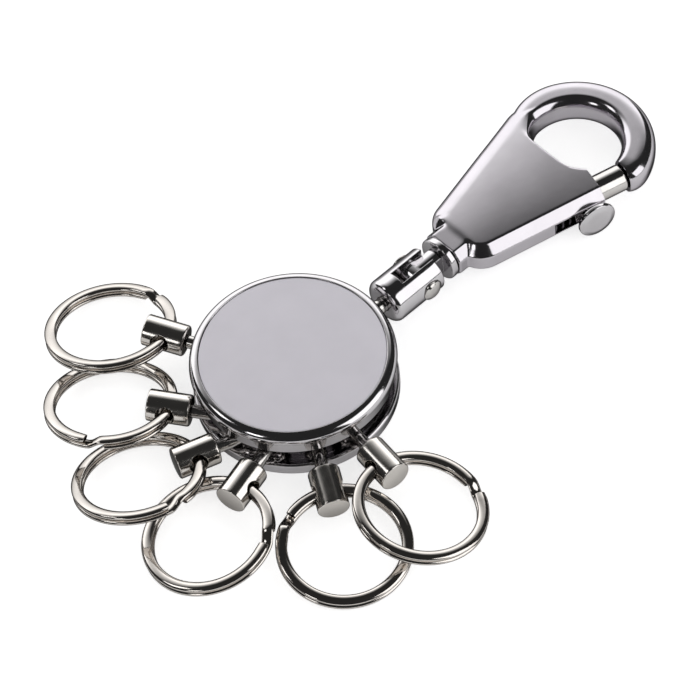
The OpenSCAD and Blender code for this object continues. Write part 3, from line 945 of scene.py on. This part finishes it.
def cushion(name, discs, edge, height, crown, margin, matrix):
    """Flat solid over the hull of discs.

    Edge(direction) gives the rows (inset, z) of its edge, the last four of them on the face. The
    faces swell crosswise, from margin inside the two long sides.
    """
    total = len(edge(Vector((1, 0))))
    outlines = [hull_row(discs, lambda n, k=k: edge(n)[k][0], 240) for k in range(total)]
    outer = outlines[0]
    around = len(outer)
    straights = sorted(range(around), key=lambda k: (outer[k] - outer[k - 1]).length)[-2 * STRAIGHT:]
    lines = []
    for way in (1, -1):
        side = [outer[k] for k in sorted(straights) if outer[k].y * way > 0]
        along = (side[-1] - side[0]).normalized()
        lines.append((side[0], Vector((-along.y, along.x))))

    def swell(point):
        upper, lower = [max(0.0, (point - start).dot(inward) - margin) for start, inward in lines]
        return crown * 0.2 * upper * lower / max(0.1, upper + lower)

    rows = []
    for k, outline in enumerate(outlines):
        row = []
        for i, point in enumerate(outline):
            tangent = (outline[(i + 1) % around] - outline[i - 1]).normalized()
            z = edge(Vector((tangent.y, -tangent.x)))[k][1]
            row.append((*point, z + (swell(point) if k > total - 5 else 0)))
        rows.append(row)
    inner = outlines[-1]
    middle = sum(inner, Vector((0, 0))) / around
    rings = 40
    for k in range(1, rings):
        spots = [middle.lerp(p, 1 - k / rings) for p in inner]
        rows.append([(*spot, height + swell(spot)) for spot in spots])
    verts = [point for row in rows for point in row]
    verts.append((*middle, height + swell(middle)))
    upper = len(verts)
    verts += [(x, y, -z) for x, y, z in verts]
    faces = []
    for half in (0, upper):
        last = half + (len(rows) - 1) * around
        faces += skin_faces(half, last, around)
        faces += [[last + i, last + (i + 1) % around, half + upper - 1] for i in range(around)]
    faces += [[i, (i + 1) % around, upper + (i + 1) % around, upper + i] for i in range(around)]
    return solid(name, verts, faces, matrix)


def bent_bar(name, centre, radius, width, height, inner, matrix):
    """Loop's bar: half an oval outside, a flat slab inside, a rounded nose and a lean root."""
    start, end, nose, root = (math.radians(a) for a in (-100, 126, -70, 62))
    nose_span, nose_in, nose_thin = math.radians(19), 2.0, 0.25
    root_span, root_in = math.radians(50), 1.5
    steps, sides = 120, 40
    outline = []
    for side in range(sides + 1):
        b = -math.pi / 2 + math.pi * side / sides
        outline.append((radius + width / 2 * fuller(math.cos(b), FULLNESS),
                        height / 2 * fuller(math.sin(b), FULLNESS)))
    outline += [(inner, height / 2), (inner, -height / 2)]
    rows = []
    for step in range(steps + 1):
        a = start + (end - start) * step / steps
        tip = 1 - math.sqrt(1 - clamp((nose - a) / nose_span) ** 2)
        drawn = nose_in * tip + root_in * clamp((a - root) / root_span) ** 2
        row = []
        for r, z in outline:
            r -= drawn * max(0, (r - inner) / (radius + width / 2 - inner))
            row.append((centre + r * math.cos(a), r * math.sin(a), z * (1 - nose_thin * tip)))
        rows.append(row)
    return swept(name, rows, matrix)


def eye_cutter(sizes, walls, matrix):
    """Cutter for the eye: round with flat walls (normal, distance), flared where the bar is round."""
    centre = Vector((sizes.length, 0))
    radius = sizes.loop_r - sizes.bar_w / 2
    half = sizes.bar_h / 2 + 0.2
    plain_flare, squareness, blend = 0.22, 5, 16
    levels = [-5.0, -half] + [half * math.sin(math.radians(a)) for a in range(-84, 90, 6)] + [half, 5.0]
    rows = []
    for z in levels:
        height = min(1.0, abs(z) / half)
        row = []
        for a in circle(360):
            n = Vector((math.cos(a), math.sin(a)))
            near = radius ** -blend
            for normal, away in walls:
                if n.dot(normal) > 1e-6:
                    near += (away / n.dot(normal)) ** -blend
            reach = near ** (-1 / blend)
            turn = math.degrees(a) if a <= math.pi else math.degrees(a) - 360
            fade = clamp((139 - turn) / 42) * clamp((turn + 112) / 12)
            share = clamp((reach / radius - 0.86) / 0.139) * fade * fade * (3 - 2 * fade)
            flare = plain_flare + (sizes.bar_w / 2 - plain_flare) * share
            power = FULLNESS + squareness * (1 - share)
            reach += flare * (1 - (1 - height ** power) ** (1 / power))
            row.append((*(centre + n * reach), z))
        rows.append(row)
    return swept("eye", rows, matrix)


def bolt_frame(sizes):
    """Matrix at the bolt's mouth in the body, with X along the bolt."""
    return base_at((NECK_X + sizes.gate_x, -sizes.gate_y, AXIS_Z), JOINTS["bolt_slide"]["axis"], (0, 0, 1))


def spring_seat(sizes):
    """Place of the bore's blind end along the bolt."""
    return -sizes.bolt_l - sizes.travel - sizes.spring_l


class CLIP_OT_snap_body(bpy.types.Operator):
    """Make the cast body of the snap hook"""

    bl_idname = "key_clip.snap_body"
    bl_label = "Snap hook body"

    def execute(self, context):
        sizes = in_mm(context.scene.clip_hook)
        here = Matrix.Translation((NECK_X, 0, AXIS_Z))
        rim = sizes.body_h / 2 - 0.12
        wall = rim - sizes.bevel
        belt, round_w = 0.7, 3.2

        def edge(n):
            bevelled = [(0, belt), (0, wall)]
            bevelled += [(sizes.bevel * k / 3, wall + sizes.bevel * k / 3) for k in (1, 2)]
            bevelled += [(sizes.bevel + 0.5 * k, rim) for k in range(4)]
            rounded = [(round_w * (1 - math.cos(a)), belt + (rim - belt) * math.sin(a))
                       for a in (math.pi / 2 * k / 7 for k in range(8))]
            share = clamp((n.y - 0.2) / 0.5)
            return [(u + (p - u) * share, v + (q - v) * share)
                    for (u, v), (p, q) in zip(bevelled, rounded)]

        shoulder_x = sizes.neck_l + sizes.shoulder_r
        discs = [(shoulder_x, sizes.shoulder_y, sizes.shoulder_r),
                 (shoulder_x, -sizes.shoulder_y, sizes.shoulder_r),
                 (sizes.length - sizes.bar_w / 2, sizes.cheek_y, sizes.cheek_r),
                 (sizes.gate_x, -sizes.gate_y, sizes.housing_r)]
        body = cushion("snap_body_cast", discs, edge, rim, sizes.crown, sizes.bevel, here)
        section = [(sizes.neck_r, wall), (sizes.neck_r - sizes.bevel * 0.85, rim)]
        section += [(-y, z) for y, z in reversed(section)]
        section += [(-y, -z) for y, z in section]
        neck = prism("neck", section, 0, shoulder_x, here @ base_at((0, 0, 0), (0, 1, 0), (1, 0, 0)))
        bar = bent_bar("bar", sizes.length, sizes.loop_r, sizes.bar_w, sizes.bar_h,
                       sizes.loop_r * 0.55, here)
        recast(lumped(body, neck, bar), sizes.grain, 1)

        flat = sizes.loop_r / 2
        slant = Vector((-0.831, -0.556)).normalized()
        walls = [(Vector((-1, 0)), flat), (slant, slant.dot(Vector((-flat, -3.51))))]
        cut(body, eye_cutter(sizes, walls, here))
        recast(body, sizes.grain, 6)
        spots = [(Vector((NECK_X + x, y, AXIS_Z + side * sizes.body_h / 2)), radius)
                 for x, y, radius in ((sizes.neck_l + 3.0, 0, 4.0), (sizes.length - 5.5, 9.6, 3.6))
                 for side in (1, -1)]
        spots.append((Vector((NECK_X + sizes.length - 8.0, 11.4, AXIS_Z)), 5.5))
        softened(body, spots, 90)

        along = bolt_frame(sizes)
        gate = block("gate", (0, -6, -OVERSIZE), (sizes.gate_l, 6, OVERSIZE), along)
        bore = rod("bore", spring_seat(sizes), 1, sizes.bolt_r + FIT, along, 64)
        slack = sizes.stem_r + 0.1
        slot = block("slot", (-sizes.knob_x - sizes.travel - slack, -OVERSIZE, -slack),
                     (-sizes.knob_x + slack, 0, slack), along)
        journal = turned("journal", [(-1, 0), (-1, 1.65), (3.3, 1.65), (3.3, 2.35), (4.6, 2.35), (4.6, 0)],
                         here, 64)
        cut(body, gate, bore, slot, journal)
        shown(body, "hook", "snap_body", "hook_chrome", 40, weigh=False)
        return {"FINISHED"}


class CLIP_OT_bolt(bpy.types.Operator):
    """Make the sliding bolt, its knob and its spring"""

    bl_idname = "key_clip.bolt"
    bl_label = "Bolt and knob"

    def execute(self, context):
        sizes = in_mm(context.scene.clip_hook)
        along = bolt_frame(sizes)
        back = -sizes.bolt_l
        tip = sizes.gate_l - 0.2
        bolt = turned("snap_bolt_turned", [
            (back, 0), (back, sizes.bolt_r, 0.3), (tip, sizes.bolt_r, 0.4), (tip, 0)], along)
        shown(bolt, "bolt", "snap_bolt", "nickel_plate")

        across = along @ base_at((-sizes.knob_x, 0, 0), (0, -1, 0), (1, 0, 0))
        cap = sizes.knob_y
        top = cap + sizes.knob_h
        knob = turned("thumb_knob_plated", [
            (0.3, 0), (0.3, sizes.stem_r, 0.1), (cap, sizes.stem_r, 0.2), (cap + 0.7, sizes.knob_r, 0.2),
            (top - 0.3, sizes.knob_r, 0.25), (top, sizes.knob_r * 0.7, 2.0), (top, 0)], across)
        shown(knob, "bolt", "thumb_knob", "polished_chrome")

        start, end = spring_seat(sizes) + FIT, back - FIT
        coil = spring("bolt_spring_coil", 1.95, 0.2, 6, start, end, along)
        shown(coil, "hook", "bolt_spring", "inner_steel")
        pressed(coil)
        return {"FINISHED"}


def sheet(name, half_w, half_h, z=0.0):
    """Flat stage piece in metres, with a new material, and that material."""
    obj = new_object(name, [(-half_w, -half_h, z), (half_w, -half_h, z), (half_w, half_h, z),
                            (-half_w, half_h, z)], [(0, 1, 2, 3)])
    material = bpy.data.materials.new(name)
    material.use_nodes = True
    obj.data.materials.append(material)
    return obj, material


def card(name, azimuth, elevation, distance, width, height, *levels):
    """Glowing card that faces the disc: one level, or (share of height, level) from bottom to top."""
    obj, material = sheet(name, width / 2, height / 2)
    a, e = math.radians(azimuth), math.radians(elevation)
    toward = Vector((math.cos(a) * math.cos(e), math.sin(a) * math.cos(e), math.sin(e)))
    turn = toward.to_track_quat("Z", "Y").to_matrix().to_4x4()
    obj.matrix_world = Matrix.Translation(toward * distance) @ turn
    obj.visible_camera = False
    tree = material.node_tree
    tree.nodes.remove(tree.nodes["Principled BSDF"])
    glow = add(tree, "ShaderNodeEmission", Color=(1, 1, 1, 1), Strength=1.0)
    tree.links.new(glow.outputs[0], tree.nodes["Material Output"].inputs["Surface"])
    if len(levels) == 1:
        glow.inputs["Strength"].default_value = levels[0]
        return
    place = add(tree, "ShaderNodeTexCoord").outputs["Object"]
    up = add(tree, "ShaderNodeSeparateXYZ", Vector=place).outputs["Y"]
    ramp = add(tree, "ShaderNodeValToRGB", Fac=ranged(tree, up, -height / 2, height / 2))
    ramp.color_ramp.interpolation = "B_SPLINE"
    top = max(level for _, level in levels)
    for k, (at, level) in enumerate(levels):
        stop = ramp.color_ramp.elements[k] if k < 2 else ramp.color_ramp.elements.new(at)
        stop.position = at
        stop.color = (level / top, level / top, level / top, 1)
    tree.links.new(scaled_sum(tree, ramp.outputs["Color"], top, 0.0), glow.inputs["Strength"])


def by_ray(tree, camera, glossy, other):
    """Value that differs for camera rays, glossy rays and all others."""
    path = add(tree, "ShaderNodeLightPath")
    seen = ranged(tree, path.outputs["Is Glossy Ray"], 0.0, 1.0, other, glossy)
    return scaled_sum(tree, path.outputs["Is Camera Ray"], camera - other, seen)


class CLIP_OT_stage(bpy.types.Operator):
    """Make the floor, the light and the camera"""

    bl_idname = "key_clip.stage"
    bl_label = "Stage"

    def execute(self, context):
        self.floor()
        self.light(context)
        self.camera(context)
        return {"FINISHED"}

    def floor(self):
        tree = sheet("floor", 3.0, 3.0, -2e-5)[1].node_tree
        shader = tree.nodes["Principled BSDF"]
        shader.inputs["Base Color"].default_value = (0.9, 0.9, 0.9, 1)
        shader.inputs["Roughness"].default_value = 0.9
        shader.inputs["Specular IOR Level"].default_value = 0.0
        shader.inputs["Emission Color"].default_value = (1, 1, 1, 1)
        tree.links.new(by_ray(tree, 0.65, 0.14, 0.0), shader.inputs["Emission Strength"])

    def light(self, context):
        world = bpy.data.worlds.new("studio")
        context.scene.world = world
        world.use_nodes = True
        sky = world.node_tree.nodes["Background"]
        sky.inputs["Color"].default_value = (1, 1, 1, 1)
        world.node_tree.links.new(by_ray(world.node_tree, 1.0, 0.02, 0.42), sky.inputs["Strength"])
        card("back_card", 64, 30, 0.75, 1.4, 1.0,
             (0.0, 1.4), (0.6, 1.35), (0.7, 0.88), (0.8, 0.43), (0.9, 0.2), (1.0, 0.05))
        card("side_card", 138, 47, 0.7, 0.16, 0.2, 1.6)
        card("right_card", -63, 27, 0.7, 0.55, 0.6, 1.3)
        card("left_card", 187, 30, 0.6, 0.14, 0.14, 2.0)

    def camera(self, context):
        studio = in_mm(context.scene.clip_studio)
        e, r = studio.elevation, studio.roll
        k = Vector((0, -math.cos(e), math.sin(e)))
        across, up = Vector((1, 0, 0)), Vector((0, math.sin(e), math.cos(e)))
        right = across * math.cos(r) - up * math.sin(r)
        top = across * math.sin(r) + up * math.cos(r)
        place = k * studio.distance - right * studio.aim_x - top * studio.aim_y
        data = bpy.data.cameras.new("camera")
        data.lens = studio.lens
        data.sensor_width = 36
        data.clip_start = 0.01
        data.clip_end = 50
        camera = bpy.data.objects.new("camera", data)
        context.scene.collection.objects.link(camera)
        facing = Matrix((right, top, k)).transposed().to_4x4()
        turn = Matrix.Rotation(studio.azimuth, 4, "Z")
        camera.matrix_world = turn @ Matrix.Translation(place * MM) @ facing
        context.scene.camera = camera


class CLIP_PT_panel(bpy.types.Panel):
    """Lists the pieces of the key clip"""

    bl_label = "Key clip"
    bl_idname = "CLIP_PT_panel"
    bl_space_type = "VIEW_3D"
    bl_region_type = "UI"
    bl_category = "Key clip"

    def draw(self, context):
        for operator in OPERATORS:
            self.layout.operator(operator.bl_idname)


GROUPS = {
    "clip_disc": DiscSizes,
    "clip_holders": HolderSizes,
    "clip_rings": RingSizes,
    "clip_clevis": ClevisSizes,
    "clip_hook": HookSizes,
    "clip_finishes": Finishes,
    "clip_studio": StudioSettings,
}
OPERATORS = (CLIP_OT_stage, CLIP_OT_face_plate, CLIP_OT_cap, CLIP_OT_base_plate, CLIP_OT_release,
             CLIP_OT_studs, CLIP_OT_barrels, CLIP_OT_split_rings, CLIP_OT_clevis, CLIP_OT_swivel,
             CLIP_OT_snap_body, CLIP_OT_bolt)


def register():
    for item in (*GROUPS.values(), *OPERATORS, CLIP_PT_panel):
        bpy.utils.register_class(item)
    for name, group in GROUPS.items():
        setattr(bpy.types.Scene, name, PointerProperty(type=group))


def unregister():
    for name in GROUPS:
        delattr(bpy.types.Scene, name)
    for item in (CLIP_PT_panel, *reversed(OPERATORS), *GROUPS.values()):
        bpy.utils.unregister_class(item)


def main():
    """Registers the add-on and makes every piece."""
    register()
    bpy.context.scene.view_settings.view_transform = "Standard"
    for operator in OPERATORS:
        group, name = operator.bl_idname.split(".")
        getattr(getattr(bpy.ops, group), name)()


if __name__ == "__main__":
    main()
